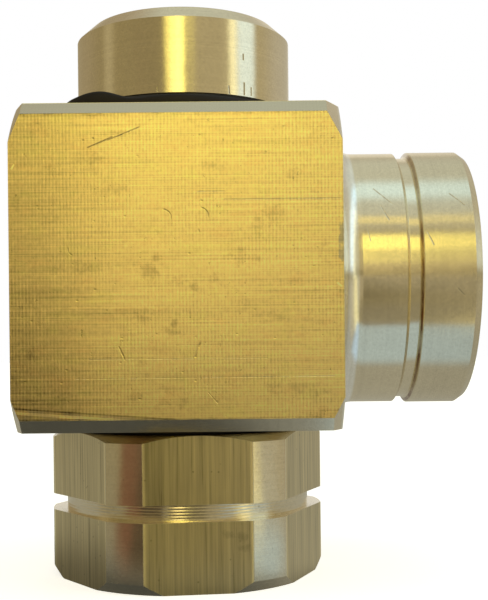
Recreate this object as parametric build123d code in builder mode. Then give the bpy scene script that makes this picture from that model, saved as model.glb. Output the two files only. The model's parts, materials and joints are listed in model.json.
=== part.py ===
from build123d import *
import math
import os

# Hydraulic rotary union with a right-angle port: a housing cut from square bar turns on a
# hexagon rotor, and a round cap screwed on the rotor's upper end holds the two together.
# Fluid enters the rotor from below, leaves it by a ring of cross holes, and goes out of the
# side port. Millimetres. Z is the axis of rotation, Z = 0 is the rotor's lower end face and
# the side port points along +X.

os.makedirs("parts", exist_ok=True)

# ---- Fits -----------------------------------------------------------------------------
journal_clearance = 0.05  # radial, rotor journal in the housing bore
seal_clearance = 0.03  # radial, seals and wear rings in the housing bore
seat_gap = 0.02  # rings on the walls of their grooves
side_gap = 0.1  # rings between the two sides of their grooves
loose_gap = 0.3  # radial, washers round the journal
stub_clearance = 0.05  # radial, cap on the rotor's threaded stub
screw_clearance = 0.03  # radial, lock screw and its pad in the cap

# ---- Housing: square bar with a turned port on one end ---------------------------------
bar_width = 45.0
bar_edge_chamfer = 1.85
body_reach = 22.7  # rotor axis to the plain end of the bar
shoulder_reach = 22.4  # rotor axis to the shoulder behind the port
port_reach = 42.0  # rotor axis to the port's face
plain_end_r = 28.4  # the cone on the plain end starts here
plain_end_angle = 57.0  # between that cone and the bar's axis
port_end_r = 28.4  # the cone on the port's end starts here
port_end_angle = 50.0
port_drop = 0.5  # the port is turned this far below the middle of the bar
port_root_d = 38.2
port_nose_d = 38.4
port_root_fillet = 3.0
port_nose_chamfer_length = 1.0
port_nose_chamfer_depth = 0.7
ring_mark_from_face = 9.25  # middle of the marking groove to the port's face
ring_mark_mouth = 2.35
ring_mark_floor = 1.35
ring_mark_depth = 0.75

# ---- Threaded ports, both the same, as cylinders of the thread's major diameter --------
thread_major_d = 26.44
thread_depth = 16.0
thread_mouth_chamfer = 0.45
drill_point_angle = 59.0  # between the drilled cone and the axis
waterway_d = 15.0

# ---- Rotor ------------------------------------------------------------------------------
hex_across_flats = 38.2
hex_length = 22.0
hex_turn = 7.0  # degrees that the hexagon is turned from square with the housing
hex_corner_d = 41.2  # the corners are turned round to this
hex_top_chamfer_r = 19.0
hex_top_chamfer_length = 1.07
hex_end_chamfer_r = 19.7
hex_end_chamfer_length = 1.55
hex_groove_centre = 11.2
hex_groove_width = 2.4
hex_groove_d = 37.0
housing_gap = 0.6  # hexagon to the housing's underside
stub_d = 20.0
stub_chamfer = 0.8
stub_end_gap = 0.5  # top of the stub to the end of the cap's bore
cross_hole_d = 9.0
cross_hole_pairs = 2  # each is drilled through both walls
cross_hole_turn = 45.0  # degrees, the first pair from square with the housing

# ---- Bore of the housing ----------------------------------------------------------------
bore_d = 26.0
chamber_d = 31.0
chamber_width = 15.0
bore_lead_in = 0.5
neck_d = 24.4  # the rotor inside the chamber, so that no seal meets the cross holes' edges
neck_width = 13.0

# ---- Ring grooves in the rotor, the same above and below the chamber --------------------
first_land = 0.9
seal_groove_width = 4.0
seal_groove_depth = 3.4
seal_ring_thickness = 1.2
seal_o_ring_width = 2.8
second_land = 0.9
wear_ring_width = 3.0
wear_ring_thickness = 1.5
wear_ring_split = 1.0
wear_ring_slant = 30.0  # degrees, its cut from the axis
third_land = 0.8
leak_groove_depth = 1.55
leak_o_ring_width = 2.0
backup_ring_width = 1.2
round_edge = 0.9  # corner of a squeezed O-ring's section
small_round_edge = 0.6  # and of the thin one's
seal_ring_edge = 0.25
backup_ring_edge = 0.15

# ---- Washers between the housing and the hexagon, and the housing and the cap -----------
lower_washer_height = 2.0
lower_thrust_washer_d = 31.0
lower_dust_ring_d = 36.4
upper_washer_height = 2.2
upper_thrust_washer_d = 29.4
upper_dust_ring_d = 34.5
ring_to_ring_gap = 0.1  # radial, dust ring round its thrust washer
counterbore_gap = 0.1  # radial, lower dust ring in its counterbore
washer_edge = 0.2
shim_thickness = 0.5
shim_recess = 0.3  # radial, how far the shim stays inside the journal's edge

# ---- End cap ----------------------------------------------------------------------------
cap_d = 32.6
cap_height = 12.9
cap_top_chamfer_length = 2.0
cap_top_chamfer_depth = 2.2
cap_edge_break = 0.2
cap_roof = 3.9
spanner_hole_d = 4.0
spanner_hole_depth = 3.0
spanner_hole_pcd = 22.0
lock_screw_d = 4.0
lock_screw_length = 4.2
lock_screw_socket = 2.0  # across flats
lock_screw_socket_depth = 1.8
lock_screw_height = 4.6  # above the underside of the cap
lock_pad_thickness = 1.4
lock_screw_side = 90.0  # degrees from the side port, so behind

# ---- Heights and radii that follow ------------------------------------------------------
bar_half = bar_width / 2
housing_low_z = hex_length + housing_gap
bar_middle_z = housing_low_z + bar_half
port_axis_z = bar_middle_z - port_drop
housing_top_z = housing_low_z + bar_width
cap_low_z = housing_top_z + upper_washer_height
cap_top_z = cap_low_z + cap_height
shoulder_z = cap_low_z - shim_thickness
stub_top_z = cap_top_z - cap_roof - stub_end_gap
bore_r = bore_d / 2
journal_r = bore_r - journal_clearance
ring_outer_r = bore_r - seal_clearance
seal_groove_r = journal_r - seal_groove_depth
seal_ring_inner_r = ring_outer_r - seal_ring_thickness
wear_ring_inner_r = ring_outer_r - wear_ring_thickness
leak_groove_r = journal_r - leak_groove_depth
cap_r = cap_d / 2

# Distances of the three grooves from the port's axis, the same up and down.
seal_groove_start = chamber_width / 2 + first_land
wear_groove_start = seal_groove_start + seal_groove_width + second_land
wear_groove_width = wear_ring_width + side_gap
leak_groove_start = wear_groove_start + wear_groove_width + third_land
leak_groove_width = leak_o_ring_width + backup_ring_width + side_gap

rotor_axis = Axis.Z
port_axis = Axis((0, 0, port_axis_z), (1, 0, 0))
port_profile = Plane(origin=(0, 0, port_axis_z), x_dir=(1, 0, 0), z_dir=(0, -1, 0))


def drill_point(radius, small_radius):
    """Length of the cone that a drill leaves between two radii."""
    return (radius - small_radius) / math.tan(math.radians(drill_point_angle))


def height_of(direction, distance, width):
    """Lowest Z of something that lies this far above (1) or below (-1) the port's axis."""
    near = port_axis_z + direction * distance
    return min(near, near + direction * width)


def facing(angle, height):
    """The upright plane through the rotor's axis whose normal points this way round."""
    turn = math.radians(angle)
    outwards = (math.cos(turn), math.sin(turn), 0)
    return Plane(origin=(0, 0, height), x_dir=(-outwards[1], outwards[0], 0), z_dir=outwards)


# ---- Housing ----------------------------------------------------------------------------
bar_section = Plane(origin=(-body_reach, 0, bar_middle_z), x_dir=(0, 1, 0), z_dir=(1, 0, 0))
bar_corner_r = bar_half * math.sqrt(2)
plain_cone = (bar_corner_r - plain_end_r) / math.tan(math.radians(plain_end_angle))
port_cone = (bar_corner_r - port_end_r) / math.tan(math.radians(port_end_angle))
port_root_r = port_root_d / 2
port_nose_r = port_nose_d / 2
mark_x = port_reach - ring_mark_from_face
counterbore_z = hex_length + lower_washer_height
counterbore_r = lower_dust_ring_d / 2 + counterbore_gap
thread_r = thread_major_d / 2
waterway_r = waterway_d / 2

with BuildPart() as housing:
    # The bar, chamfered along its four edges.
    with BuildSketch(bar_section) as bar:
        Rectangle(bar_width, bar_width)
        chamfer(bar.vertices(), bar_edge_chamfer)
    extrude(amount=body_reach + shoulder_reach)
    # Both ends turned, which takes the corners off as cones.
    with BuildSketch(port_profile):
        with BuildLine():
            Polyline(
                (-body_reach, 0),
                (-body_reach, plain_end_r),
                (-body_reach + plain_cone, bar_corner_r),
                (shoulder_reach - port_cone, bar_corner_r),
                (shoulder_reach, port_end_r),
                (shoulder_reach, 0),
                close=True,
            )
        make_face()
    revolve(axis=port_axis, mode=Mode.INTERSECT)
    # The port, with a fillet at its root, a marking groove and a chamfered nose.
    with BuildSketch(port_profile):
        with BuildLine():
            Line((shoulder_reach, 0), (shoulder_reach, port_root_r + port_root_fillet))
            RadiusArc(
                (shoulder_reach, port_root_r + port_root_fillet),
                (shoulder_reach + port_root_fillet, port_root_r),
                -port_root_fillet,
            )
            Polyline(
                (shoulder_reach + port_root_fillet, port_root_r),
                (mark_x - ring_mark_mouth / 2, port_root_r),
                (mark_x - ring_mark_floor / 2, port_root_r - ring_mark_depth),
                (mark_x + ring_mark_floor / 2, port_root_r - ring_mark_depth),
                (mark_x + ring_mark_mouth / 2, port_nose_r),
                (port_reach - port_nose_chamfer_length, port_nose_r),
                (port_reach, port_nose_r - port_nose_chamfer_depth),
                (port_reach, 0),
                (shoulder_reach, 0),
            )
        make_face()
    revolve(axis=port_axis)
    # The bore, its chamber and the counterbore that holds the lower washers.
    with BuildSketch(Plane.XZ):
        with BuildLine():
            Polyline(
                (0, housing_low_z),
                (counterbore_r, housing_low_z),
                (counterbore_r, counterbore_z),
                (bore_r + bore_lead_in, counterbore_z),
                (bore_r, counterbore_z + bore_lead_in),
                (bore_r, port_axis_z - chamber_width / 2),
                (chamber_d / 2, port_axis_z - chamber_width / 2),
                (chamber_d / 2, port_axis_z + chamber_width / 2),
                (bore_r, port_axis_z + chamber_width / 2),
                (bore_r, housing_top_z - bore_lead_in),
                (bore_r + bore_lead_in, housing_top_z),
                (0, housing_top_z),
                close=True,
            )
        make_face()
    revolve(axis=rotor_axis, mode=Mode.SUBTRACT)
    # The port's threaded hole, drill point and waterway into the chamber.
    with BuildSketch(port_profile):
        with BuildLine():
            Polyline(
                (0, 0),
                (0, waterway_r),
                (port_reach - thread_depth - drill_point(thread_r, waterway_r), waterway_r),
                (port_reach - thread_depth, thread_r),
                (port_reach - thread_mouth_chamfer, thread_r),
                (port_reach, thread_r + thread_mouth_chamfer),
                (port_reach, 0),
                close=True,
            )
        make_face()
    revolve(axis=port_axis, mode=Mode.SUBTRACT)
housing.part.label = "housing"
export_step(housing.part, "parts/housing.step")

# ---- Rotor ------------------------------------------------------------------------------
hex_corner_r = hex_corner_d / 2
hex_groove_r = hex_groove_d / 2
hex_groove_low = hex_groove_centre - hex_groove_width / 2
hex_groove_high = hex_groove_centre + hex_groove_width / 2
neck_r = neck_d / 2
stub_r = stub_d / 2
waterway_top_z = port_axis_z + cross_hole_d / 2

with BuildPart() as rotor:
    # The hexagon bar.
    with BuildSketch():
        RegularPolygon(hex_across_flats / 2, 6, major_radius=False, rotation=hex_turn)
    extrude(amount=hex_length)
    # Its corners turned round, both ends chamfered and a groove turned round the middle.
    with BuildSketch(Plane.XZ):
        with BuildLine():
            Polyline(
                (0, 0),
                (hex_end_chamfer_r, 0),
                (hex_corner_r, hex_end_chamfer_length),
                (hex_corner_r, hex_groove_low),
                (hex_groove_r, hex_groove_low),
                (hex_groove_r, hex_groove_high),
                (hex_corner_r, hex_groove_high),
                (hex_corner_r, hex_length - hex_top_chamfer_length),
                (hex_top_chamfer_r, hex_length),
                (0, hex_length),
                close=True,
            )
        make_face()
    revolve(axis=rotor_axis, mode=Mode.INTERSECT)
    # The journal, and the stub that the cap screws on.
    with BuildSketch(Plane.XZ):
        with BuildLine():
            Polyline(
                (0, hex_length),
                (journal_r, hex_length),
                (journal_r, port_axis_z - neck_width / 2),
                (neck_r, port_axis_z - neck_width / 2),
                (neck_r, port_axis_z + neck_width / 2),
                (journal_r, port_axis_z + neck_width / 2),
                (journal_r, shoulder_z),
                (stub_r, shoulder_z),
                (stub_r, stub_top_z - stub_chamfer),
                (stub_r - stub_chamfer, stub_top_z),
                (0, stub_top_z),
                close=True,
            )
        make_face()
    revolve(axis=rotor_axis)
    # Three ring grooves above the cross holes and three below.
    for direction in (-1, 1):
        for start, width, floor_r in (
            (seal_groove_start, seal_groove_width, seal_groove_r),
            (wear_groove_start, wear_groove_width, wear_ring_inner_r - seat_gap),
            (leak_groove_start, leak_groove_width, leak_groove_r),
        ):
            low = height_of(direction, start, width)
            with BuildSketch(Plane.XZ):
                with Locations((floor_r, low)):
                    Rectangle(bore_r - floor_r, width, align=Align.MIN)
            revolve(axis=rotor_axis, mode=Mode.SUBTRACT)
    # The threaded hole, the drilled waterway and the cross holes into the chamber.
    with BuildSketch(Plane.XZ):
        with BuildLine():
            Polyline(
                (0, 0),
                (thread_r + thread_mouth_chamfer, 0),
                (thread_r, thread_mouth_chamfer),
                (thread_r, thread_depth),
                (waterway_r, thread_depth + drill_point(thread_r, waterway_r)),
                (waterway_r, waterway_top_z),
                (0, waterway_top_z + drill_point(waterway_r, 0)),
                close=True,
            )
        make_face()
    revolve(axis=rotor_axis, mode=Mode.SUBTRACT)
    for number in range(cross_hole_pairs):
        turn = cross_hole_turn + number * 180 / cross_hole_pairs
        with BuildSketch(facing(turn, port_axis_z)):
            Circle(cross_hole_d / 2)
        extrude(amount=bore_r, both=True, mode=Mode.SUBTRACT)
rotor.part.label = "rotor"
export_step(rotor.part, "parts/rotor.step")

# ---- Rings in the rotor's grooves, one of each above the port's axis and one below --------
for side, direction in (("upper", 1), ("lower", -1)):
    seal_width = seal_groove_width - 2 * side_gap
    seal_z = height_of(direction, seal_groove_start + side_gap, seal_width)
    o_ring_start = seal_groove_start + (seal_groove_width - seal_o_ring_width) / 2
    o_ring_z = height_of(direction, o_ring_start, seal_o_ring_width)
    wear_z = height_of(direction, wear_groove_start + side_gap / 2, wear_ring_width)
    leak_z = height_of(direction, leak_groove_start, leak_o_ring_width)
    backup_start = leak_groove_start + leak_groove_width - backup_ring_width
    backup_z = height_of(direction, backup_start, backup_ring_width)

    # The slipper seal that runs on the bore.
    with BuildPart() as seal_ring:
        with BuildSketch(Plane.XZ) as seal_section:
            with Locations((seal_ring_inner_r, seal_z)):
                Rectangle(seal_ring_thickness, seal_width, align=Align.MIN)
            chamfer(seal_section.vertices().sort_by(Axis.X)[-2:], seal_ring_edge)
        revolve(axis=rotor_axis)
    seal_ring.part.label = f"{side}_seal_ring"
    export_step(seal_ring.part, f"parts/{side}_seal_ring.step")

    # The O-ring that presses it outwards, squeezed to a rounded oblong.
    o_ring_inner_r = seal_groove_r + seat_gap
    o_ring_thickness = seal_ring_inner_r - seat_gap - o_ring_inner_r
    with BuildPart() as seal_o_ring:
        with BuildSketch(Plane.XZ):
            with Locations((o_ring_inner_r, o_ring_z)):
                RectangleRounded(o_ring_thickness, seal_o_ring_width, round_edge, align=Align.MIN)
        revolve(axis=rotor_axis)
    seal_o_ring.part.label = f"{side}_seal_o_ring"
    export_step(seal_o_ring.part, f"parts/{side}_seal_o_ring.step")

    # The guide ring, split by a slanted cut so that it snaps into its groove.
    with BuildPart() as wear_ring:
        with BuildSketch(Plane.XZ):
            with Locations((wear_ring_inner_r, wear_z)):
                Rectangle(wear_ring_thickness, wear_ring_width, align=Align.MIN)
        revolve(axis=rotor_axis)
        with BuildSketch(Plane.XZ.offset(-bore_r)):
            with Locations((0, wear_z + wear_ring_width / 2)):
                Rectangle(wear_ring_split, 2 * wear_ring_width, rotation=direction * wear_ring_slant)
        extrude(amount=2 * wear_ring_thickness, mode=Mode.SUBTRACT)
    wear_ring.part.label = f"{side}_wear_ring"
    export_step(wear_ring.part, f"parts/{side}_wear_ring.step")

    # The second O-ring, and the back-up ring on its outer side.
    leak_inner_r = leak_groove_r + seat_gap
    leak_thickness = ring_outer_r - leak_inner_r
    with BuildPart() as leak_o_ring:
        with BuildSketch(Plane.XZ):
            with Locations((leak_inner_r, leak_z)):
                RectangleRounded(leak_thickness, leak_o_ring_width, small_round_edge, align=Align.MIN)
        revolve(axis=rotor_axis)
    leak_o_ring.part.label = f"{side}_leak_o_ring"
    export_step(leak_o_ring.part, f"parts/{side}_leak_o_ring.step")

    with BuildPart() as backup_ring:
        with BuildSketch(Plane.XZ) as backup_section:
            with Locations((leak_inner_r, backup_z)):
                Rectangle(leak_thickness, backup_ring_width, align=Align.MIN)
            chamfer(backup_section.vertices().sort_by(Axis.X)[-2:], backup_ring_edge)
        revolve(axis=rotor_axis)
    backup_ring.part.label = f"{side}_backup_ring"
    export_step(backup_ring.part, f"parts/{side}_backup_ring.step")

# ---- Washers: a thrust washer and a rubber dust ring round it, at each end ----------------
lower_washers = ("lower", hex_length, lower_washer_height, lower_thrust_washer_d, lower_dust_ring_d)
upper_washers = ("upper", housing_top_z, upper_washer_height, upper_thrust_washer_d, upper_dust_ring_d)
thrust_inner_r = journal_r + loose_gap

for side, low, height, thrust_d, dust_d in (lower_washers, upper_washers):
    with BuildPart() as thrust_washer:
        with BuildSketch(Plane.XY.offset(low)):
            Circle(thrust_d / 2)
            Circle(thrust_inner_r, mode=Mode.SUBTRACT)
        extrude(amount=height)
    thrust_washer.part.label = f"{side}_thrust_washer"
    export_step(thrust_washer.part, f"parts/{side}_thrust_washer.step")

    with BuildPart() as dust_ring:
        with BuildSketch(Plane.XY.offset(low)):
            Circle(dust_d / 2)
            Circle(thrust_d / 2 + ring_to_ring_gap, mode=Mode.SUBTRACT)
        extrude(amount=height)
        outer_edges = dust_ring.edges().filter_by(GeomType.CIRCLE).sort_by(SortBy.RADIUS)[-2:]
        fillet(outer_edges, washer_edge)
    dust_ring.part.label = f"{side}_dust_ring"
    export_step(dust_ring.part, f"parts/{side}_dust_ring.step")

# The shim on the rotor's shoulder, under the cap.
with BuildPart() as shim_washer:
    with BuildSketch(Plane.XY.offset(shoulder_z)):
        Circle(journal_r - shim_recess)
        Circle(stub_r + loose_gap, mode=Mode.SUBTRACT)
    extrude(amount=shim_thickness)
shim_washer.part.label = "shim_washer"
export_step(shim_washer.part, "parts/shim_washer.step")

# ---- End cap, closed on top, with its lock screw and pad in the wall behind ---------------
cap_bore_r = stub_r + stub_clearance
lock_screw_z = cap_low_z + lock_screw_height
lock_screw_hole_r = lock_screw_d / 2 + screw_clearance
behind = facing(lock_screw_side, lock_screw_z)
lock_pad_end = cap_bore_r + lock_pad_thickness
lock_screw_end = lock_pad_end + lock_screw_length

with BuildPart() as end_cap:
    with BuildSketch(Plane.XZ):
        with BuildLine():
            Polyline(
                (cap_bore_r, cap_low_z),
                (cap_r - cap_edge_break, cap_low_z),
                (cap_r, cap_low_z + cap_edge_break),
                (cap_r, cap_top_z - cap_top_chamfer_length),
                (cap_r - cap_top_chamfer_depth, cap_top_z),
                (0, cap_top_z),
                (0, cap_top_z - cap_roof),
                (cap_bore_r, cap_top_z - cap_roof),
                close=True,
            )
        make_face()
    revolve(axis=rotor_axis)
    # Two blind holes for a pin spanner.
    with Locations((0, 0, cap_top_z)):
        with PolarLocations(spanner_hole_pcd / 2, 2, start_angle=90 - hex_turn):
            Hole(spanner_hole_d / 2, spanner_hole_depth)
    # The lock screw's threaded hole, through the wall into the bore.
    with BuildSketch(behind):
        Circle(lock_screw_hole_r)
    extrude(amount=cap_r, mode=Mode.SUBTRACT)
end_cap.part.label = "end_cap"
export_step(end_cap.part, "parts/end_cap.step")

with BuildPart() as cap_lock_pad:
    with BuildSketch(behind.offset(cap_bore_r)):
        Circle(lock_screw_d / 2)
    extrude(amount=lock_pad_thickness)
cap_lock_pad.part.label = "cap_lock_pad"
export_step(cap_lock_pad.part, "parts/cap_lock_pad.step")

with BuildPart() as cap_lock_screw:
    with BuildSketch(behind.offset(lock_pad_end)):
        Circle(lock_screw_d / 2)
    extrude(amount=lock_screw_length)
    with BuildSketch(behind.offset(lock_screw_end - lock_screw_socket_depth)):
        RegularPolygon(lock_screw_socket / 2, 6, major_radius=False)
    extrude(amount=lock_screw_socket_depth, mode=Mode.SUBTRACT)
cap_lock_screw.part.label = "cap_lock_screw"
export_step(cap_lock_screw.part, "parts/cap_lock_screw.step")
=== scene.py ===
import json
import math

import bmesh
import bpy
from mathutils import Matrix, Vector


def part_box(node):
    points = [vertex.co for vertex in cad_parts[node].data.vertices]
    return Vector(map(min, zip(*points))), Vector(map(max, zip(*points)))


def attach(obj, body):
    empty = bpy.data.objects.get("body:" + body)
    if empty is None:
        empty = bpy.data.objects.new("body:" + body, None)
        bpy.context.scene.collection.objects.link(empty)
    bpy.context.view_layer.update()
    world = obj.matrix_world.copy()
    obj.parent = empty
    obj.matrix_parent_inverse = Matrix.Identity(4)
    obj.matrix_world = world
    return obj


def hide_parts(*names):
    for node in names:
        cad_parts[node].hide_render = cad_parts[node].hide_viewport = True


# The looks of a hydraulic rotary union: a drawn square brass bar with a turned port, on a
# hexagon rotor with a turned cap. Lengths are metres, as in the frame, unless a name ends
# in _mm. The materials work in millimetres on the object's own coordinates.

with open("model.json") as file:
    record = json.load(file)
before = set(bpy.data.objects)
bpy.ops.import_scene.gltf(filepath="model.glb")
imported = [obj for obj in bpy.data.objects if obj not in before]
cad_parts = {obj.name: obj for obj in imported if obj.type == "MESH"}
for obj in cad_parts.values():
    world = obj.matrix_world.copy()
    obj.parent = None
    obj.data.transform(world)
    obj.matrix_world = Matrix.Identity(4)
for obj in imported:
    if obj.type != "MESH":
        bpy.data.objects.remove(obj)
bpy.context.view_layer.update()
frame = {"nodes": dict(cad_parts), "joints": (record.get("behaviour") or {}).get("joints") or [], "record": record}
nodes = frame["nodes"]
MM = 0.001


def node_box_mm(name):
    """Lowest and highest corner of a CAD node, in millimetres."""
    low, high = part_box(name)
    return [c / MM for c in low], [c / MM for c in high]


# ---- Sizes taken from the frame ------------------------------------------------------------
housing_low, housing_high = node_box_mm("housing")
washer_low, washer_high = node_box_mm("upper_dust_ring")
cap_r_mm = node_box_mm("end_cap")[1][0]
hex_top_mm = node_box_mm("lower_dust_ring")[0][2]
joint_z_mm = frame["joints"][0]["pos_m"][2] / MM
mounts = {m["name"]: m for m in frame["record"]["mounts"]}
thread_r_mm = mounts["side_port"]["dims"]["r_mm"]
thread_length_mm = mounts["side_port"]["dims"]["length_mm"]
bar_half_mm = housing_high[1]
bar_middle_z_mm = (housing_low[2] + housing_high[2]) / 2
body_end_mm = -housing_low[0]
port_face_mm = housing_high[0]

# Features of the bars that the frame doesn't name. The front face is very slightly crowned.
crown_x_mm = 6.0
crown_per_mm = 0.0012
shoulder_mm = 22.4
bar_chamfer_mm = 1.85
port_fillet_mm = (22.4, 24.6)
port_mark_wall_mm = (port_face_mm - 8.40, port_face_mm - 8.22)
port_nose_mm = (port_face_mm - 8.3, port_face_mm - 8.1)
hex_groove_mm = (10.0, 12.4)
hex_groove_r_mm = 18.5
hex_corner_r_mm = 20.6

# Inside a surface, a mask for it starts at the first depth and is full at the second.
mask_start_mm = 0.04
mask_full_mm = 0.02


# ---- Short calls for node trees -------------------------------------------------------------
class Graph:
    """A node tree, with nodes made and joined by short calls."""

    def __init__(self, tree):
        self.tree = tree

    def node(self, kind, inputs=(), **settings):
        made = self.tree.nodes.new(kind)
        for name, value in settings.items():
            setattr(made, name, value)
        for key, value in dict(inputs).items():
            self.put(made.inputs[key], value)
        return made

    def put(self, socket, value):
        if isinstance(value, bpy.types.NodeSocket):
            self.tree.links.new(value, socket)
        elif isinstance(value, tuple) and len(value) == 3 and socket.type == "RGBA":
            socket.default_value = (*value, 1)
        else:
            socket.default_value = value

    def math(self, operation, a, b=0.0, c=0.0):
        made = self.node("ShaderNodeMath", operation=operation)
        for socket, value in zip(made.inputs, (a, b, c)):
            self.put(socket, value)
        return made.outputs[0]

    def add(self, a, b):
        return self.math("ADD", a, b)

    def sub(self, a, b):
        return self.math("SUBTRACT", a, b)

    def mul(self, a, *others):
        for b in others:
            a = self.math("MULTIPLY", a, b)
        return a

    def most(self, a, b):
        return self.math("MAXIMUM", a, b)

    def size(self, a):
        return self.math("ABSOLUTE", a)

    def centred(self, a):
        """A noise, 0 to 1, moved so that its middle is 0."""
        return self.math("SUBTRACT", a, 0.5)

    def invert(self, a):
        return self.math("SUBTRACT", 1.0, a)

    def length(self, a, b):
        return self.math("SQRT", self.add(self.mul(a, a), self.mul(b, b)))

    def step(self, value, start, end, low=0.0, high=1.0):
        """low before start, high after end, and a smooth change between them."""
        made = self.node("ShaderNodeMapRange", interpolation_type="SMOOTHSTEP")
        if start > end:
            start, end, low, high = end, start, high, low
        for socket, number in zip(made.inputs, (value, start, end, low, high)):
            self.put(socket, number)
        return made.outputs[0]

    def band(self, value, start, end, soft):
        """1 between start and end, 0 outside, with soft edges."""
        rise = self.step(value, start - soft, start)
        return self.mul(rise, self.step(value, end + soft, end))

    def vector(self, x, y, z):
        return self.node("ShaderNodeCombineXYZ", zip("XYZ", (x, y, z))).outputs[0]

    def split(self, vector):
        return tuple(self.node("ShaderNodeSeparateXYZ", {0: vector}).outputs)

    def noise(self, vector, scale, detail=2.0, roughness=0.5, distortion=0.0):
        inputs = {"Vector": vector, "Scale": scale, "Detail": detail}
        inputs.update({"Roughness": roughness, "Distortion": distortion})
        return self.node("ShaderNodeTexNoise", inputs).outputs["Fac"]

    def cells(self, vector, scale):
        """Distance to the nearest of many scattered points."""
        inputs = {"Vector": vector, "Scale": scale}
        return self.node("ShaderNodeTexVoronoi", inputs).outputs["Distance"]

    def mix(self, factor, a, b):
        """Colour a, or colour b where factor is 1."""
        made = self.node("ShaderNodeMix", data_type="RGBA")
        for socket, value in zip((made.inputs[0], made.inputs[6], made.inputs[7]), (factor, a, b)):
            self.put(socket, value)
        return made.outputs[2]

    def multiply_colour(self, colour, factor):
        """A colour made darker or lighter by a number."""
        made = self.node("ShaderNodeVectorMath", {0: colour}, operation="SCALE")
        self.put(made.inputs["Scale"], factor)
        return made.outputs[0]


def start_material(name):
    """A material's graph, its principled shader, and the object's coordinates in millimetres."""
    made = bpy.data.materials.new(name)
    made.use_nodes = True
    graph = Graph(made.node_tree)
    shader = made.node_tree.nodes["Principled BSDF"]
    place = graph.node("ShaderNodeTexCoord").outputs["Object"]
    scaled = graph.node("ShaderNodeVectorMath", {0: place}, operation="SCALE")
    scaled.inputs["Scale"].default_value = 1 / MM
    return made, graph, shader, graph.split(scaled.outputs[0])


def bump(graph, height_mm, normal=None):
    """A normal tilted by a height in millimetres."""
    made = graph.node("ShaderNodeBump", {"Height": height_mm, "Distance": MM})
    if normal is not None:
        graph.put(made.inputs["Normal"], normal)
    return made.outputs[0]


along_x = (1.0, 0.0, 0.0)
along_z = (0.0, 0.0, 1.0)
turned_anisotropy = 0.8
turned_roughness = 0.17


def finish_metal(graph, shader, colour, roughness, height_mm, axis, anisotropy=turned_anisotropy):
    """A metal whose highlights spread along the axis of its turning or its ridges."""
    graph.put(shader.inputs["Tangent"], graph.vector(*axis))
    graph.put(shader.inputs["Base Color"], colour)
    graph.put(shader.inputs["Roughness"], roughness)
    shader.inputs["Metallic"].default_value = 1.0
    shader.inputs["Anisotropic"].default_value = anisotropy
    graph.put(shader.inputs["Normal"], bump(graph, height_mm))


def line_mark(graph, u, v, start, end, width):
    """1 on a straight scratch between two points of a face, 0 a width away from it."""
    length = math.dist(start, end)
    along_u, along_v = (end[0] - start[0]) / length, (end[1] - start[1]) / length
    du, dv = graph.sub(u, start[0]), graph.sub(v, start[1])
    along = graph.add(graph.mul(du, along_u), graph.mul(dv, along_v))
    across = graph.sub(graph.mul(du, along_v), graph.mul(dv, along_u))
    near = graph.step(graph.size(across), width, 0.0)
    return graph.mul(near, graph.band(along, 0.0, length, width))


def line_marks(graph, u, v, lines):
    """The most that any of some scratches, each a start, an end and a width, marks a point."""
    marks = 0.0
    for start, end, width in lines:
        marks = graph.most(line_mark(graph, u, v, start, end, width), marks)
    return marks


arc_width_mm = 0.14
arc_fade = (0.55, 0.8)  # shares of the radius, towards the bulge, between which the rim fades in


def arc_mark(graph, u, v, centre, radius, facing):
    """1 on a quarter of a circle, a dent's rim, that bulges towards the angle facing."""
    du, dv = graph.sub(u, centre[0]), graph.sub(v, centre[1])
    off = graph.size(graph.sub(graph.length(du, dv), radius))
    turn = math.radians(facing)
    towards = graph.add(graph.mul(du, math.cos(turn)), graph.mul(dv, math.sin(turn)))
    side = graph.step(towards, *(radius * share for share in arc_fade))
    return graph.mul(graph.step(off, arc_width_mm, 0.0), side)


def smudge_marks(graph, u, v, place, smudges):
    """Soft stains with uneven edges, each a place, half width, half height and strength."""
    raggedness, edge, core = 2.6, 1.25, 0.2
    marks = 0.0
    uneven = graph.mul(graph.centred(graph.noise(place, 1.1, 4.0, 0.65)), raggedness)
    for centre, half_width, half_height, strength in smudges:
        off_u = graph.mul(graph.sub(u, centre[0]), 1 / half_width)
        off_v = graph.mul(graph.sub(v, centre[1]), 1 / half_height)
        near = graph.step(graph.add(graph.length(off_u, off_v), uneven), edge, core)
        marks = graph.most(graph.mul(near, strength), marks)
    return marks


# ---- Brass ----------------------------------------------------------------------------------
pale_brass = (0.80, 0.73, 0.55)
gold_brass = (0.98, 0.805, 0.38)
lemon_brass = (0.96, 0.825, 0.365)
orange_brass = (0.985, 0.775, 0.365)
olive_brass = (0.66, 0.58, 0.355)
chamfer_brass = (0.66, 0.63, 0.50)
chip_brass = (0.55, 0.50, 0.36)
# A near-white brass for the port's fillet: a painted highlight.
fillet_highlight_brass = (0.95, 0.95, 0.88)
grime = (0.20, 0.095, 0.045)

facet_left_z_mm = 26.1
facet_slope = 0.0766
chipped_z_mm = (45.6, 50.4)

# Marks on the bar's front face, as (x, z) in millimetres. Scratches and nicks: start, end, width.
front_scratches = (
    ((-11.9, 61.1), (-8.6, 62.5), 0.16),
    ((-9.2, 62.1), (-5.0, 63.8), 0.10),
    ((-8.0, 34.3), (-7.2, 32.5), 0.17),
    ((2.9, 34.6), (2.3, 32.9), 0.24),
    ((6.4, 54.0), (22.0, 54.0), 0.07),
    ((2.7, 55.1), (6.5, 55.1), 0.07),
    ((-12.0, 32.6), (12.0, 32.6), 0.06),
    ((-14.0, 30.0), (21.0, 30.1), 0.06),
    ((4.0, 28.0), (5.2, 26.6), 0.10),
)
# Dents: centre, radius, and the angle that the rim bulges towards.
front_dents = (((-1.9, 51.6), 1.1, 40.0), ((3.1, 51.8), 1.1, 35.0), ((-14.0, 47.4), 0.7, 210.0))
front_nicks = (((21.5, 42.6), (22.0, 42.2), 0.20), ((-22.2, 58.4), (-21.9, 58.9), 0.18))
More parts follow.
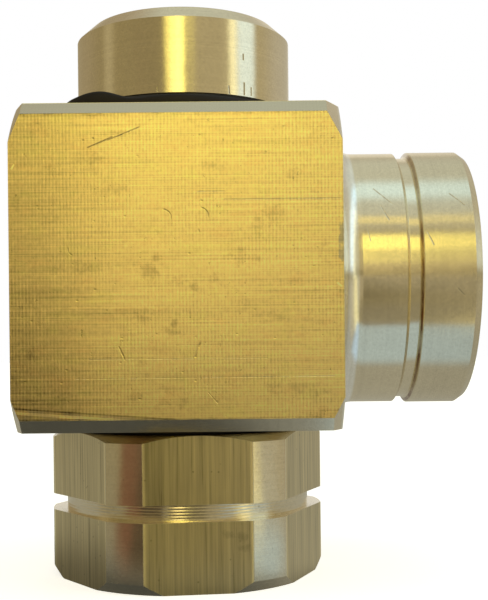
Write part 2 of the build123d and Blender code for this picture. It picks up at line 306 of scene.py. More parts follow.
# Soft smudges: place, half width, half height, strength.
front_smudges = (
    ((-8.2, 55.3), 2.3, 0.9, 0.16),
    ((-3.8, 44.3), 1.3, 1.2, 0.24),
    ((-2.9, 46.2), 0.8, 0.6, 0.20),
    ((2.3, 42.6), 0.6, 0.8, 0.22),
    ((-0.5, 37.4), 0.6, 0.6, 0.30),
    ((-7.0, 36.0), 1.5, 1.3, 0.12),
    ((8.7, 46.8), 0.6, 1.4, 0.14),
    ((-6.0, 27.6), 1.2, 0.8, 0.22),
    ((16.0, 28.5), 2.0, 1.0, 0.16),
    ((-20.0, 33.4), 1.0, 1.2, 0.16),
    ((-7.0, 39.0), 15.0, 0.55, 0.13),
    ((11.0, 38.4), 10.0, 0.4, 0.10),
    ((-6.0, 36.2), 13.0, 0.3, 0.09),
)
port_scratches = (
    ((27.4, 56.3), (29.8, 53.9), 0.09),
    ((28.2, 53.6), (29.2, 51.6), 0.10),
    ((38.4, 41.9), (39.3, 41.0), 0.13),
    ((38.0, 55.4), (39.9, 53.6), 0.08),
    ((34.4, 49.8), (35.2, 48.0), 0.12),
    ((26.0, 51.0), (26.5, 48.6), 0.06),
)
hexagon_smudges = (
    ((6.4, 8.2), 1.2, 0.6, 0.20),
    ((8.4, 7.8), 0.9, 0.9, 0.22),
    ((8.8, 6.3), 1.1, 0.6, 0.20),
    ((-6.0, 8.0), 0.5, 0.4, 0.20),
)
cap_nicks = (
    ((9.3, 71.9), (9.3, 70.2), 0.13),
    ((7.1, 71.2), (7.2, 70.1), 0.12),
    ((9.2, 76.0), (9.2, 75.2), 0.12),
    ((10.3, 71.4), (10.3, 70.3), 0.10),
    ((-2.9, 70.9), (-2.9, 70.2), 0.10),
)
ridge_pitch_mm = 0.47
ridge_height_mm = 0.004
turned_ring_height_mm = 0.0035
fine_ring_height_mm = 0.003


def drawn_bar(graph, along, across):
    """Height and shade of the drawn bar: long fine lines, crossed by broken rows of ridges."""
    line_height_mm, broad_height_mm = 0.012, 0.02
    line_shade, broad_shade, ridge_shade, deep_shade = 0.95, 0.25, 0.14, 0.10
    lines_at = graph.vector(graph.mul(along, 0.035), graph.mul(across, 4.2), 0.0)
    lines = graph.noise(lines_at, 1.0, 4.0, 0.7)
    broad_at = graph.vector(graph.mul(along, 0.05), graph.mul(across, 0.35), 3.0)
    broad = graph.noise(broad_at, 1.0, 3.0)
    deep = graph.step(lines, 0.40, 0.31)

    # Ridges across the bar, bent a little and broken up by two noises.
    bend = 4.0
    waver_at = graph.vector(graph.mul(along, 0.5), graph.mul(across, 0.15), 7.0)
    waver = graph.noise(waver_at, 1.0, 2.0)
    turn = graph.add(graph.mul(along, 2 * math.pi / ridge_pitch_mm), graph.mul(waver, bend))
    broken_at = graph.vector(graph.mul(along, 1.6), graph.mul(across, 1.5), 1.0)
    broken = graph.step(graph.noise(broken_at, 1.0, 2.0), 0.3, 0.65, 0.25, 1.0)
    wide_at = graph.vector(along, across, 2.0)
    wide = graph.step(graph.noise(wide_at, 0.09, 1.0), 0.38, 0.62, 0.45, 1.0)
    ridges = graph.mul(graph.math("SINE", turn), graph.mul(broken, wide))

    drawn_height = graph.add(graph.mul(lines, line_height_mm), graph.mul(broad, broad_height_mm))
    height = graph.add(graph.mul(ridges, ridge_height_mm), drawn_height)
    shade = graph.add(graph.mul(ridges, ridge_shade), graph.mul(graph.centred(lines), line_shade))
    shade = graph.add(shade, graph.mul(graph.centred(broad), broad_shade))
    return height, graph.sub(shade, graph.mul(deep, deep_shade))


def turned_surface(graph, along, place, spread):
    """Height and shade of a lathe's finish: fine rings, a slight waver, grain and stains."""
    waver_height_mm, grain_height_mm = 0.012, 0.0014
    fine_shade, stain_shade, pit_shade = 0.3, 0.16, 0.25
    rings = graph.noise(graph.vector(graph.mul(along, 7.0), 0.0, 0.0), 1.0, 3.0, 0.7)
    coarse = graph.noise(graph.vector(graph.mul(along, 1.3), 0.0, 0.0), 1.0, 2.0)
    waver = graph.noise(place, 0.45, 3.0)
    grain = graph.noise(place, 2.6, 3.0, 0.6)
    stains = graph.noise(place, 0.28, 4.0, 0.6)
    pits = graph.step(grain, 0.70, 0.77)
    uneven = graph.add(graph.mul(waver, waver_height_mm), graph.mul(grain, grain_height_mm))
    height = graph.add(graph.mul(rings, spread), uneven)
    fine = graph.mul(graph.centred(rings), fine_shade)
    shade = graph.add(fine, graph.mul(graph.centred(grain), fine_shade))
    clouds = graph.add(graph.centred(stains), graph.centred(coarse))
    shade = graph.add(shade, graph.mul(clouds, stain_shade))
    return height, graph.sub(shade, graph.mul(pits, pit_shade))


def patchy_roughness(graph, place):
    """The roughness of turned brass, a little higher here and there."""
    return graph.add(turned_roughness, graph.mul(graph.noise(place, 0.5, 3.0), 0.06))


def housing_surfaces(graph, x, y, up):
    """Masks of the bar's four flats, its chamfers, and all that lies in its front plane."""
    near_flat = (bar_half_mm - mask_start_mm, bar_half_mm - mask_full_mm)
    inside = graph.band(x, mask_full_mm - body_end_mm, shoulder_mm - mask_full_mm, 0.01)
    on_side = graph.step(graph.size(y), *near_flat)
    on_level = graph.step(graph.size(up), *near_flat)
    flats = graph.mul(inside, graph.most(on_side, on_level))
    corner_sum = graph.add(graph.size(y), graph.size(up))
    edge_sum = 2 * bar_half_mm - bar_chamfer_mm
    on_chamfer = graph.step(corner_sum, edge_sum - mask_start_mm, edge_sum - mask_full_mm)
    strips = graph.mul(inside, on_chamfer, graph.invert(flats))
    front = graph.step(y, mask_start_mm - bar_half_mm, mask_full_mm - bar_half_mm)
    return flats, strips, front


def housing_marks(graph, x, y, z, front, turned):
    """Masks of the scratches and dents, the bright nicks, and the smudges."""
    place = graph.vector(x, y, z)
    marks = line_marks(graph, x, z, front_scratches + port_scratches)
    for centre, radius, facing in front_dents:
        marks = graph.most(arc_mark(graph, x, z, centre, radius, facing), marks)
    port_front = graph.mul(turned, graph.step(y, -1.0, -5.0))
    marks = graph.mul(marks, graph.most(front, port_front))
    marks = graph.mul(marks, graph.step(graph.noise(place, 2.2, 3.0), 0.38, 0.56, 0.5, 1.0))
    nicks = graph.mul(line_marks(graph, x, z, front_nicks), front)
    smudges = graph.mul(smudge_marks(graph, x, z, place, front_smudges), front)
    return marks, nicks, smudges


def front_edges(graph, x, y, z, up, front, flats):
    """Masks of the darkened rim, the foot's facet, the painted shade along its edge, its painted highlight, and
    the chipped side.
    """
    place = graph.vector(x, y, z)
    # The flat's long edges, darkened here and there.
    flat_end_mm = bar_half_mm - bar_chamfer_mm
    rim = graph.step(graph.size(up), flat_end_mm - 0.45, flat_end_mm - 0.1)
    rim_patches_at = graph.vector(graph.mul(x, 0.5), y, z)
    rim_patches = graph.step(graph.noise(rim_patches_at, 1.2, 3.0), 0.42, 0.62, 0.35, 1.0)
    rim_darkening = graph.mul(rim, front, rim_patches)

    # A sliver of a facet along the foot of the front face.
    facet_line = graph.mul(graph.add(x, body_end_mm), facet_slope)
    facet_off = graph.add(graph.sub(z, facet_left_z_mm), facet_line)
    near_facet = graph.mul(front, flats, graph.step(x, 1.0, -1.5))
    facet = graph.mul(near_facet, graph.step(facet_off, 0.06, -0.06))
    # Painted shade: a dark line along the crease between the face and the facet.
    facet_edge = graph.mul(near_facet, graph.band(facet_off, -0.04, 0.10, 0.08))
    # Painted highlight: a bright line inside the facet, towards its left end.
    glint_band = graph.band(facet_off, -0.70, -0.42, 0.12)
    facet_glint = graph.mul(facet, glint_band, graph.step(x, -5.0, -9.0))

    # Chips out of its right edge.
    raggedness_mm = 1.1
    uneven = graph.mul(graph.centred(graph.noise(place, 0.9, 3.0)), raggedness_mm)
    ragged = graph.add(x, uneven)
    chipped = graph.mul(front, flats, graph.step(ragged, shoulder_mm - 0.62, shoulder_mm - 0.45))
    chipped = graph.mul(chipped, graph.band(z, *chipped_z_mm, 0.5))
    return rim_darkening, facet, facet_edge, facet_glint, chipped


# How much each mark darkens the housing's brass, or brightens it.
speck_dark, blotch_dark, mark_dark, peck_dark = 0.30, 0.22, 0.24, 0.25
# facet_edge_dark darkens with painted shade, facet_bright lightens with a painted highlight.
rim_dark, facet_edge_dark, nose_dark, grain_dark = 0.22, 0.38, 0.05, 0.5
facet_bright, nick_bright = 0.55, 0.6
# How deep marks go, in millimetres, and how much rougher than turned brass a surface is.
speck_depth_mm, mark_depth_mm, peck_depth_mm = 0.012, 0.035, 0.02
flat_rougher, nose_rougher = 0.14, 0.05


def housing_material():
    made, graph, shader, (x, y, z) = start_material("bar_brass")
    place = graph.vector(x, y, z)
    up = graph.sub(z, bar_middle_z_mm)
    flats, strips, front = housing_surfaces(graph, x, y, up)
    bar = graph.most(flats, strips)
    turned = graph.invert(bar)
    nose = graph.step(x, *port_nose_mm)

    streak_height, streak_shade = drawn_bar(graph, x, graph.add(y, z))
    ring_along = graph.add(x, graph.length(y, graph.sub(z, joint_z_mm)))
    ring_height, ring_shade = turned_surface(graph, ring_along, place, turned_ring_height_mm)

    # Specks, pecks, blotches and the marks of use.
    specks = graph.mul(graph.step(graph.noise(place, 1.5, 3.0, 0.6), 0.66, 0.74), flats)
    pecks_at = graph.vector(graph.mul(x, 0.8), y, graph.mul(z, 1.2))
    pecks = graph.mul(graph.step(graph.cells(pecks_at, 0.55), 0.11, 0.04), flats)
    pecks = graph.mul(pecks, graph.step(graph.noise(place, 0.35), 0.44, 0.54))
    stains = graph.noise(graph.vector(graph.mul(x, 0.75), y, z), 0.30, 5.0, 0.62)
    blotch = graph.mul(graph.step(stains, 0.56, 0.72), flats)
    grain = graph.noise(place, 1.7, 4.0, 0.7)
    marks, nicks, smudges = housing_marks(graph, x, y, z, front, turned)
    edges = front_edges(graph, x, y, z, up, front, flats)
    rim_darkening, facet, facet_edge, facet_glint, chipped = edges
    # Painted shade: the front face darker towards its left end, most at its foot.
    lower_left_shade = graph.mul(graph.step(x, -5.0, -22.0), front)
    lower_left_shade = graph.mul(lower_left_shade, graph.step(z, 66.0, 26.0, 0.21, 0.38))

    # Colours: gold flats with paler and redder patches, grey chamfers, pale turned brass, and a near-white band on
    # the port's fillet that is a painted highlight.
    bar_colour = graph.mix(strips, gold_brass, chamfer_brass)
    bar_colour = graph.mix(graph.most(chipped, graph.mul(facet, 0.5)), bar_colour, chip_brass)
    tint = graph.noise(graph.vector(graph.mul(x, 0.5), y, z), 0.45, 4.0, 0.65)
    lemon, orange = graph.step(tint, 0.50, 0.66), graph.step(tint, 0.46, 0.34)
    bar_colour = graph.mix(graph.mul(flats, lemon), bar_colour, lemon_brass)
    bar_colour = graph.mix(graph.mul(flats, orange), bar_colour, orange_brass)
    fillet = graph.band(x, *port_fillet_mm, 0.5)
    colour = graph.mix(bar, graph.mix(fillet, pale_brass, fillet_highlight_brass), bar_colour)

    strip_share = 0.12
    on_bar = graph.mul(streak_shade, graph.add(flats, graph.mul(strips, strip_share)))
    shade = graph.add(on_bar, graph.mul(ring_shade, turned))
    darker = graph.add(graph.mul(specks, speck_dark), graph.mul(blotch, blotch_dark))
    for mask, strength in (
        (marks, mark_dark),
        (facet_edge, facet_edge_dark),
        (rim_darkening, rim_dark),
        (pecks, peck_dark),
        (nose, nose_dark),
        (graph.mul(graph.sub(0.5, grain), flats), grain_dark),
        (facet_glint, -facet_bright),
        (nicks, -nick_bright),
        (graph.add(lower_left_shade, smudges), 1.0),
    ):
        darker = graph.add(darker, graph.mul(mask, strength))
    colour = graph.multiply_colour(colour, graph.sub(graph.add(1.0, shade), darker))

    # Grime on the outer wall of the port's marking groove, more below than above.
    in_groove = graph.band(x, *port_mark_wall_mm, 0.08)
    in_groove = graph.mul(in_groove, graph.step(z, joint_z_mm + 9.0, joint_z_mm, 0.6, 1.0))
    dirt = graph.mul(in_groove, graph.step(graph.noise(place, 0.3, 3.0), 0.3, 0.6, 0.45, 1.0))
    colour = graph.mix(dirt, colour, grime)

    drawn = graph.mul(graph.sub(streak_height, graph.mul(specks, speck_depth_mm)), flats)
    height = graph.add(drawn, graph.mul(ring_height, turned))
    off_crown = graph.sub(x, crown_x_mm)
    crown = graph.mul(off_crown, off_crown, -crown_per_mm, front)
    height = graph.add(graph.sub(height, graph.mul(marks, mark_depth_mm)), crown)
    height = graph.sub(height, graph.mul(pecks, peck_depth_mm))
    rougher = graph.add(graph.mul(flats, flat_rougher), graph.mul(nose, nose_rougher))
    roughness = graph.add(rougher, patchy_roughness(graph, place))
    finish_metal(graph, shader, colour, roughness, height, along_x)
    return made


def cap_material():
    nick_dark, nick_depth_mm = 0.55, 0.03
    made, graph, shader, (x, y, z) = start_material("cap_brass")
    place = graph.vector(x, y, z)
    ring_along = graph.add(z, graph.length(x, y))
    height, shade = turned_surface(graph, ring_along, place, fine_ring_height_mm)
    nicks = graph.mul(line_marks(graph, x, z, cap_nicks), graph.step(y, 0.0, -1.0))
    shade = graph.sub(graph.add(1.0, shade), graph.mul(nicks, nick_dark))
    height = graph.sub(height, graph.mul(nicks, nick_depth_mm))
    colour = graph.multiply_colour(pale_brass, shade)
    finish_metal(graph, shader, colour, patchy_roughness(graph, place), height, along_z)
    return made


hex_coarse_pitch_mm = 0.42
hex_coarse_height_mm = 0.008


def rotor_surfaces(graph, x, y, z):
    """Masks of the hexagon's flats, of a painted highlight along their vertical edges, and of its groove's floor.
    """
    across = graph.length(x, y)
    normal = graph.node("ShaderNodeTexCoord").outputs["Normal"]
    upright = graph.step(graph.size(graph.split(normal)[2]), 0.3, 0.1)
    in_corners = (hex_corner_r_mm - mask_full_mm, hex_corner_r_mm - mask_start_mm)
    off_groove = (hex_groove_r_mm + 0.05, hex_groove_r_mm + 0.1)
    flats = graph.mul(upright, graph.step(across, *in_corners))
    flats = graph.mul(flats, graph.step(across, *off_groove))
    flats = graph.mul(flats, graph.step(z, hex_top_mm, hex_top_mm - 0.01))
    groove = graph.band(z, *hex_groove_mm, 0.02)
    groove = graph.mul(groove, graph.step(across, *reversed(off_groove)))
    near_corner = graph.step(across, hex_corner_r_mm - 0.20, hex_corner_r_mm - 0.10)
    return flats, graph.mul(flats, near_corner), groove


def rotor_material():
    hex_flat_rougher, drawn_share = 0.1, 0.75
    speck_share, glint_share = 0.35, 0.5
    made, graph, shader, (x, y, z) = start_material("hexagon_brass")
    place = graph.vector(x, y, z)
    flats, edge_glint, groove = rotor_surfaces(graph, x, y, z)
    turned = graph.invert(flats)

    # The drawn flats: streaks along the bar.
    fine_at = graph.vector(graph.mul(x, 2.2), graph.mul(y, 2.2), graph.mul(z, 0.04))
    fine = graph.noise(fine_at, 1.0, 4.0, 0.65)
    broad_at = graph.vector(graph.mul(x, 0.5), graph.mul(y, 0.5), graph.mul(z, 0.02))
    broad = graph.noise(broad_at, 1.0, 3.0)
    drawn_height = graph.add(graph.mul(fine, 0.018), graph.mul(broad, 0.02))
    fine_shade = graph.mul(graph.centred(fine), 1.5)
    drawn_shade = graph.add(fine_shade, graph.mul(graph.centred(broad), 0.5))
    drawn_shade = graph.sub(drawn_shade, graph.mul(graph.step(fine, 0.42, 0.33), 0.2))

    # The turned parts, with a coarser thread of tool marks in the groove.
    ring_along = graph.add(z, graph.length(x, y))
    ring_height, ring_shade = turned_surface(graph, ring_along, place, fine_ring_height_mm)
    coarse = graph.math("SINE", graph.mul(z, 2 * math.pi / hex_coarse_pitch_mm))
    ring_height = graph.add(ring_height, graph.mul(coarse, groove, hex_coarse_height_mm))

    # Specks, stains, and painted shade on the front flat towards its left edge, more above the groove.
    speckled = graph.step(graph.noise(place, 0.2), 0.5, 0.6)
    specks = graph.mul(graph.step(graph.cells(place, 0.7), 0.14, 0.04), speckled)
    stains = smudge_marks(graph, x, z, place, hexagon_smudges)
    stains = graph.mul(stains, flats, graph.step(y, -8.0, -12.0))
    above = graph.step(z, *hex_groove_mm)
    upper_flat_shade = graph.mul(graph.step(x, 2.5, -5.5, 0.0, 0.36), above)
    lower_flat_shade = graph.mul(graph.step(x, -4.8, -6.8, 0.0, 0.30), graph.invert(above))
    front_flat_shade = graph.add(upper_flat_shade, lower_flat_shade)
    front_flat_shade = graph.mul(front_flat_shade, flats, graph.step(y, -17.0, -18.5))

    shade = graph.add(graph.mul(drawn_shade, flats, drawn_share), graph.mul(ring_shade, turned))
    shade = graph.sub(graph.add(1.0, shade), graph.mul(specks, speck_share))
    # A painted highlight along the flats' vertical edges.
    shade = graph.add(shade, graph.mul(edge_glint, glint_share))
    shade = graph.sub(shade, graph.add(stains, front_flat_shade))
    colour = graph.multiply_colour(graph.mix(flats, pale_brass, olive_brass), shade)
    height = graph.add(graph.mul(drawn_height, flats), graph.mul(ring_height, turned))
    rougher = graph.mul(flats, hex_flat_rougher)
    roughness = graph.add(rougher, patchy_roughness(graph, place))
    finish_metal(graph, shader, colour, roughness, height, along_z)
    return made


# ---- Rubber, plastics and steel ---------------------------------------------------------------
soft_specular = 0.3


def soft_material(name, colour, roughness, spread):
    """Rubber or plastic with a faint grain and cloudy colour."""
    least_shade, cloud_shade, grain_roughness = 0.75, 0.5, 0.2
    made, graph, shader, (x, y, z) = start_material(name)
    place = graph.vector(x, y, z)
    cloud = graph.noise(place, 0.6, 3.0)
    grain = graph.noise(place, 9.0, 2.0)
    shade = graph.add(least_shade, graph.mul(cloud, cloud_shade))
    uneven = graph.mul(graph.centred(grain), grain_roughness)
    graph.put(shader.inputs["Base Color"], graph.multiply_colour(colour, shade))
    graph.put(shader.inputs["Roughness"], graph.add(roughness, uneven))
    shader.inputs["Specular IOR Level"].default_value = soft_specular
    graph.put(shader.inputs["Normal"], bump(graph, graph.mul(grain, spread)))
    return made


def steel_material(name, colour, roughness):
    """Steel with fine turning rings."""
    ring_height_mm = 0.002
    made, graph, shader, (x, y, z) = start_material(name)
    place = graph.vector(x, y, z)
    height, shade = turned_surface(graph, graph.add(y, z), place, ring_height_mm)
    tinted = graph.multiply_colour(colour, graph.add(1.0, shade))
    finish_metal(graph, shader, tinted, roughness, height, along_z)
    return made


finishes = {
    "housing_brass": housing_material(),
    "rotor_brass": rotor_material(),
    "cap_brass": cap_material(),
    "black_rubber": soft_material("black_rubber", (0.012, 0.0095, 0.0105), 0.55, 0.006),
    "seal_rubber": soft_material("seal_rubber", (0.025, 0.025, 0.026), 0.35, 0.003),
    "seal_plastic": soft_material("bronze_filled_plastic", (0.16, 0.11, 0.06), 0.4, 0.003),
    "bearing_plastic": soft_material("natural_acetal", (0.72, 0.72, 0.68), 0.4, 0.002),
    "soft_plastic": soft_material("natural_nylon", (0.75, 0.72, 0.62), 0.45, 0.002),
    "black_steel": steel_material("black_steel", (0.07, 0.07, 0.075), 0.4),
    "bright_steel": steel_material("bright_steel", (0.55, 0.55, 0.54), 0.25),
}
slot_of = {part["node"]: part["material_slot"] for part in frame["record"]["subparts"]}
for name, node in nodes.items():
    for material_slot in node.material_slots:
        material_slot.material = finishes[slot_of[name]]


# ---- Pieces made here -------------------------------------------------------------------------
def add_piece(name, corners, faces, body, slot):
    """A piece from its corners in millimetres and its faces, riding on a body."""
    mesh = bpy.data.meshes.new(name)
    mesh.from_pydata([[c * MM for c in corner] for corner in corners], [], faces)
    shaped = bmesh.new()
    shaped.from_mesh(mesh)
    bmesh.ops.recalc_face_normals(shaped, faces=shaped.faces)
    shaped.to_mesh(mesh)
    shaped.free()
    made = bpy.data.objects.new(name, mesh)
    bpy.context.scene.collection.objects.link(made)
    mesh.materials.append(finishes[slot])
    mesh.shade_smooth()
    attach(made, body)
    return made


def closed_rings(rings, joined_ends=False):
    """Faces that join a row of equal rings of corners, with its ends joined or capped."""
    count, size = len(rings), len(rings[0])
    corners = [corner for ring in rings for corner in ring]
    faces = []
    for row in range(count if joined_ends else count - 1):
        after = (row + 1) % count
        for k in range(size):
            k2 = (k + 1) % size
            faces.append((row * size + k, row * size + k2, after * size + k2, after * size + k))
    if not joined_ends:
        faces.append(tuple(range(size))[::-1])
        faces.append(tuple((count - 1) * size + k for k in range(size)))
    return corners, faces


# The threads of both ports: G 3/4, a 55 degree ridge wound inside the CAD bore.
thread_pitch_mm = 1.814
thread_start_mm = thread_pitch_mm / 2
thread_run_mm = thread_length_mm - thread_pitch_mm
thread_crest_r_mm = 12.08
thread_flank = math.tan(math.radians(27.5))
thread_crest_half_mm = 0.13
thread_crest_round_mm = 0.05
thread_sink_mm = 0.12
turn_steps = 72
run_out_steps = turn_steps / 4


def thread_rings():
    """Sections of the ridge along its helix, in the thread's own frame: (along, across, up)."""
    deep_r = thread_r_mm + thread_sink_mm
    base_half = thread_crest_half_mm + (deep_r - thread_crest_r_mm) * thread_flank
    rings = []
    steps = round(thread_run_mm / thread_pitch_mm * turn_steps)
    for k in range(steps + 1):
        turn = 2 * math.pi * k / turn_steps
        along = thread_start_mm + thread_pitch_mm * k / turn_steps
        grown = min(1.0, (k + 1) / run_out_steps, (steps + 1 - k) / run_out_steps)
        crest_r = thread_r_mm - (thread_r_mm - thread_crest_r_mm) * grown
        crest_half = base_half - (deep_r - crest_r) * thread_flank
        section = (
            (deep_r, -base_half),
            (crest_r, -crest_half),
            (crest_r - thread_crest_round_mm * grown, 0.0),
            (crest_r, crest_half),
            (deep_r, base_half),
        )
        rings.append([(along + s, r * math.cos(turn), r * math.sin(turn)) for r, s in section])
    return rings


thread_corners, thread_faces = closed_rings(thread_rings())
side_thread = [(port_face_mm - a, c, joint_z_mm + b) for a, b, c in thread_corners]
add_piece("side_port_thread", side_thread, thread_faces, "housing", "housing_brass")
rotor_thread = [(b, c, a) for a, b, c in thread_corners]
add_piece("rotor_port_thread", rotor_thread, thread_faces, "rotor", "rotor_brass")


# The upper dust ring: a rubber washer whose rim has curled out and up on one side. A bulge has
# a middle and a spread, in degrees round from the side port.
washer_inner_mm = 14.8
washer_steps = 180
washer_gap_mm = 0.02  # above the housing and below the cap
washer_rim_inset_mm = 0.12
curl_out, curl_out_mm = (218, 17), 3.2
curl_up, curl_up_mm = (232, 10), 1.0
curl_dip, curl_dip_mm = (248, 9), 0.22
curl_lift_mm = 0.15
rim_ripple_mm = (0.08, 0.05)
ripple_lift = 0.4
rim_round_mm = 0.3


def bulge(angle, middle, spread):
    """A smooth bump, 0 to 1, around an angle in degrees from the side port."""
    off = (angle - middle + 180) % 360 - 180
    return math.exp(-((off / spread) ** 2))


def washer_section(angle):
    """The ring's section at an angle, as (radius, height)."""
    outward = bulge(angle, *curl_out)
    upward = curl_up_mm * bulge(angle, *curl_up) - curl_dip_mm * bulge(angle, *curl_dip)
    slow, quick = math.radians(3 * angle + 40), math.radians(7 * angle)
    ripple = rim_ripple_mm[0] * math.sin(slow) + rim_ripple_mm[1] * math.sin(quick)
    rim = washer_high[0] - washer_rim_inset_mm + curl_out_mm * outward + ripple
    low, high = washer_low[2] + washer_gap_mm, washer_high[2] - washer_gap_mm
    rim_top = high - 0.2 + curl_lift_mm * outward + upward + ripple_lift * ripple
    shoulder = cap_r_mm + 0.1
    return (
        (washer_inner_mm, low),
        (rim - 0.25, low),
        (rim, low + rim_round_mm),
        (rim + 0.05, (low + rim_top) / 2),
        (rim, rim_top - rim_round_mm),
        (rim - 0.15, rim_top - 0.06),
        (rim - 0.4, rim_top),
        (shoulder + 0.3, high - 0.12 + 0.3 * outward),
        (shoulder, high),
        (washer_inner_mm, high),
    )


washer_rings = []
for k in range(washer_steps):
    angle = 360 * k / washer_steps
    turn = math.radians(angle)
    section = washer_section(angle)
    washer_rings.append([(r * math.cos(turn), r * math.sin(turn), z) for r, z in section])
washer = add_piece("curled_dust_ring", *closed_rings(washer_rings, True), "rotor", "black_rubber")
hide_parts("upper_dust_ring")


# ---- Light: a world that holds the studio's panels, and white where the camera sees it ---------
white = (1.0, 1.0, 1.0)
window_gold = (1.0, 0.86, 0.24)
table_gold = (1.0, 0.80, 0.36)
ledge_gold = (1.0, 0.86, 0.42)
ceiling_blue = (0.76, 0.94, 1.0)
curtain_gold = (1.0, 0.93, 0.58)
sky_blue = (0.87, 1.0, 1.03)
wall_gold = (1.0, 0.84, 0.5)
wood_red = (0.20, 0.095, 0.055)
lamp_white = (1.0, 0.92, 0.75)
# Each panel: azimuth from the front towards the side port, elevation, width, height, edge
# (degrees), colour, strength.
panels = (
    (-6.0, 5.0, 11.0, 17.0, 3.0, table_gold, 2.3),
    (-1.5, 22.5, 9.0, 25.0, 2.0, window_gold, 3.0),
    (-10.75, 25.0, 11.5, 22.0, 2.0, window_gold, 1.9),
    (8.5, 28.5, 12.0, 13.0, 1.5, window_gold, 1.8),
    (6.0, 49.5, 40.0, 7.0, 1.0, ledge_gold, 1.05),
    (0.0, 83.0, 80.0, 20.0, 7.0, ceiling_blue, 1.1),
    (57.0, 24.0, 9.0, 56.0, 3.0, curtain_gold, 1.35),
    (73.0, 28.0, 22.0, 48.0, 4.0, sky_blue, 1.15),
    (-84.0, 20.0, 12.0, 60.0, 5.0, wall_gold, 0.5),
    (-36.0, -9.0, 30.0, 20.0, 2.5, wood_red, 1.0),
    (180.0, 24.0, 26.0, 28.0, 5.0, lamp_white, 0.8),
)
room_left = (0.33, 0.265, 0.135)
room_right = (0.50, 0.42, 0.25)
room_low = (0.30, 0.25, 0.135)
room_behind_left = (0.38, 0.31, 0.19)
room_behind_right = (0.53, 0.48, 0.38)
room_above = (0.62, 0.63, 0.54)
room_above_left = (0.45, 0.37, 0.26)
backdrop_in_metal = 0.55
# Where one part of the room gives way to the next, as parts of the direction looked in.
behind_from, right_from, low_from = (-0.1, 0.6), (-0.15, 0.35), (0.14, 0.02)
above_from, above_right_from, backdrop_from = (0.5, 0.88), (-0.34, -0.10), (0.9, 0.97)


def direction_of(azimuth, elevation):
    a, e = math.radians(azimuth), math.radians(elevation)
    return (math.sin(a) * math.cos(e), -math.cos(a) * math.cos(e), math.sin(e))


def dot(graph, vector, fixed):
    made = graph.node("ShaderNodeVectorMath", {0: vector, 1: fixed}, operation="DOT_PRODUCT")
    return made.outputs["Value"]


def seen_in_metal(graph):
    """The light path's outputs, and 1 for rays that metal or glass sends out."""
    rays = graph.node("ShaderNodeLightPath").outputs
    return rays, graph.most(rays["Is Glossy Ray"], rays["Is Transmission Ray"])


def panel_mask(graph, direction, azimuth, elevation, width, height, edge):
    """1 on a flat panel with soft edges, square on to a direction."""
    never_behind = 0.001
    ahead = graph.most(dot(graph, direction, direction_of(azimuth, elevation)), never_behind)
    soft = math.tan(math.radians(edge))
    lit = []
    for axis, angle in (
        (direction_of(azimuth + 90, 0), width),
        (direction_of(azimuth, elevation + 90), height),
    ):
        off = graph.size(graph.math("DIVIDE", dot(graph, direction, axis), ahead))
        half = math.tan(math.radians(angle / 2))
        lit.append(graph.step(off, half + soft, half - soft))
    return graph.mul(*lit)


def build_world():
    world = bpy.data.worlds.new("studio")
    bpy.context.scene.world = world
    world.use_nodes = True
    graph = Graph(world.node_tree)
    direction = graph.node("ShaderNodeTexCoord").outputs["Generated"]
    across, depth, height = graph.split(direction)
    right_side = graph.step(across, *right_from)
    in_front = graph.mix(right_side, room_left, room_right)
    in_front = graph.mix(graph.step(height, *low_from), in_front, room_low)
    at_back = graph.mix(right_side, room_behind_left, room_behind_right)
    colour = graph.mix(graph.step(depth, *behind_from), in_front, at_back)
    above = graph.mix(graph.step(across, *above_right_from), room_above_left, room_above)
    colour = graph.mix(graph.step(height, *above_from), colour, above)
    for azimuth, elevation, width, tall, edge, tint, strength in panels:
        lit = panel_mask(graph, direction, azimuth, elevation, width, tall, edge)
        colour = graph.mix(lit, colour, tuple(c * strength for c in tint))
    rays, in_metal = seen_in_metal(graph)
    backdrop = graph.mul(in_metal, graph.step(depth, *backdrop_from), backdrop_in_metal)
    colour = graph.mix(graph.most(rays["Is Camera Ray"], backdrop), colour, white)
    graph.put(world.node_tree.nodes["Background"].inputs["Color"], colour)


# The floor as the metal sees it, in metres. A wedge is a range of x divided by the distance from
# the axis, and the width of its soft edges. The pairs are where a change starts and ends.
floor_half = 3.0
sheet_front = (-0.056, -0.050)
sheet_across = (0.026, 0.058, 0.007)
sheet_colour = (0.49, 0.60, 0.67)
table_near = (0.31, 0.275, 0.19)
table_far = (0.35, 0.295, 0.165)
near_from = (-0.13, -0.07)
table_red, red_wedge = (0.19, 0.085, 0.05), (-0.75, -0.32, 0.05)
table_dim, dim_wedge = (0.15, 0.125, 0.07), (-0.20, 0.27, 0.05)
table_dark, dark_wedge = (0.07, 0.05, 0.03), (-0.58, -0.30, 0.03)
table_bright, bright_wedge = (0.95, 0.82, 0.42), (0.69, 0.86, 0.02)
wedges_from = (-0.030, -0.036)
dim_until = (0.050, 0.042)
bright_from, bright_until = (0.055, 0.065), (-0.010, -0.016)
table_right, right_table_from = (0.47, 0.41, 0.28), (0.060, 0.072)
table_close = (0.27, 0.275, 0.25)
close_behind, close_within = (-0.034, -0.026), (0.052, 0.044)
# Painted shade on the floor under the port, and a painted shadow round the object's foot, both seen only in the
# metal.
under_port, port_shade_from = (0.40, 0.385, 0.32), (-0.020, -0.012)
contact_x, contact_radii, contact_dark = -0.012, (0.024, 0.037), 0.30
paper_colour = (0.85, 0.86, 0.85)
floor_white = 0.68


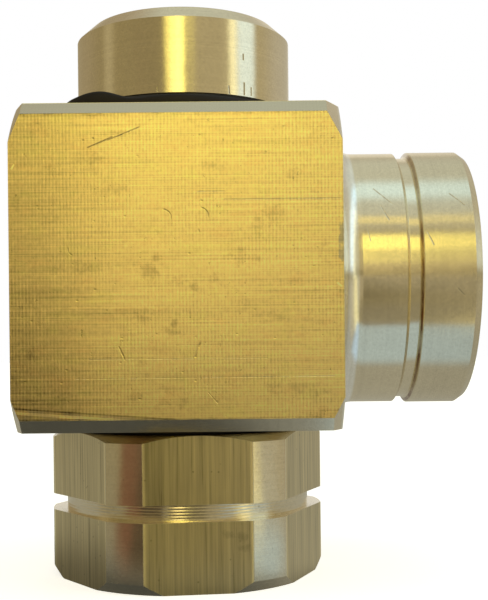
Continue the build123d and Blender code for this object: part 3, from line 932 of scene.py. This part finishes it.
def floor_in_metal(graph, x, y):
    """What metal sees of the floor: a sheet in front, painted shade under the port, a painted shadow close by the
    object.
    """
    from_axis = graph.length(x, y)
    sideways = graph.math("DIVIDE", x, from_axis)
    ahead = graph.step(y, *wedges_from)
    colour = graph.mix(graph.step(y, *near_from), table_far, table_near)
    colour = graph.mix(graph.step(x, *right_table_from), colour, table_right)
    colour = graph.mix(graph.mul(graph.band(sideways, *red_wedge), ahead), colour, table_red)
    dim = graph.mul(graph.band(sideways, *dim_wedge), ahead, graph.step(x, *dim_until))
    colour = graph.mix(dim, colour, table_dim)
    colour = graph.mix(graph.mul(graph.band(sideways, *dark_wedge), ahead), colour, table_dark)
    bright = graph.mul(graph.band(sideways, *bright_wedge), graph.step(from_axis, *bright_from))
    colour = graph.mix(graph.mul(bright, graph.step(y, *bright_until)), colour, table_bright)
    close = graph.mul(graph.step(y, *close_behind), graph.step(from_axis, *close_within))
    colour = graph.mix(close, colour, table_close)
    sheet = graph.mul(graph.step(y, *sheet_front), graph.band(x, *sheet_across))
    colour = graph.mix(sheet, colour, sheet_colour)
    colour = graph.mix(graph.step(y, *port_shade_from), colour, under_port)
    # A painted shadow round the object's foot.
    from_contact = graph.length(graph.sub(x, contact_x), y)
    contact_shadow = graph.step(from_contact, *contact_radii, contact_dark, 1.0)
    return graph.multiply_colour(colour, contact_shadow)


def build_floor():
    """A pale sheet under the object: white to the camera, apart from the object's shadow."""
    mesh = bpy.data.meshes.new("floor")
    corners = [(x * floor_half, y * floor_half, 0) for x, y in ((-1, -1), (1, -1), (1, 1), (-1, 1))]
    mesh.from_pydata(corners, [], [(0, 1, 2, 3)])
    floor = bpy.data.objects.new("floor", mesh)
    bpy.context.scene.collection.objects.link(floor)
    made = bpy.data.materials.new("pale_floor")
    made.use_nodes = True
    graph = Graph(made.node_tree)
    x, y, z = graph.split(graph.node("ShaderNodeTexCoord").outputs["Object"])
    rays, in_metal = seen_in_metal(graph)
    reflected = graph.node("ShaderNodeEmission", {"Color": floor_in_metal(graph, x, y)})
    paper = graph.node("ShaderNodeBsdfDiffuse", {"Color": paper_colour})
    glow = graph.node("ShaderNodeEmission", {"Color": white})
    graph.put(glow.inputs["Strength"], graph.mul(rays["Is Camera Ray"], floor_white))
    pale = graph.node("ShaderNodeAddShader", {0: paper.outputs[0], 1: glow.outputs[0]})
    shaders = {0: in_metal, 1: pale.outputs[0], 2: reflected.outputs[0]}
    mixed = graph.node("ShaderNodeMixShader", shaders)
    below = graph.node("ShaderNodeNewGeometry").outputs["Backfacing"]
    clear = graph.node("ShaderNodeBsdfTransparent")
    sides = {0: below, 1: mixed.outputs[0], 2: clear.outputs[0]}
    output = made.node_tree.nodes["Material Output"]
    graph.put(output.inputs["Surface"], graph.node("ShaderNodeMixShader", sides).outputs[0])
    mesh.materials.append(made)


camera_place = (0.00796, -0.1639, 0.03378)
camera_turn_degrees = (90.0, 0.6, 0.0)
camera_lens_mm = 63.1
camera_sensor_mm = 36.0
camera_shift = (0.0106, 0.0824)
camera_clip = (0.01, 20.0)


def build_camera():
    lens = bpy.data.cameras.new("camera")
    camera = bpy.data.objects.new("camera", lens)
    bpy.context.scene.collection.objects.link(camera)
    bpy.context.scene.camera = camera
    lens.sensor_width = camera_sensor_mm
    lens.lens = camera_lens_mm
    lens.shift_x, lens.shift_y = camera_shift
    lens.clip_start, lens.clip_end = camera_clip
    camera.location = camera_place
    camera.rotation_euler = [math.radians(degrees) for degrees in camera_turn_degrees]


build_world()
build_floor()
build_camera()
bpy.context.scene.view_settings.view_transform = "Standard"
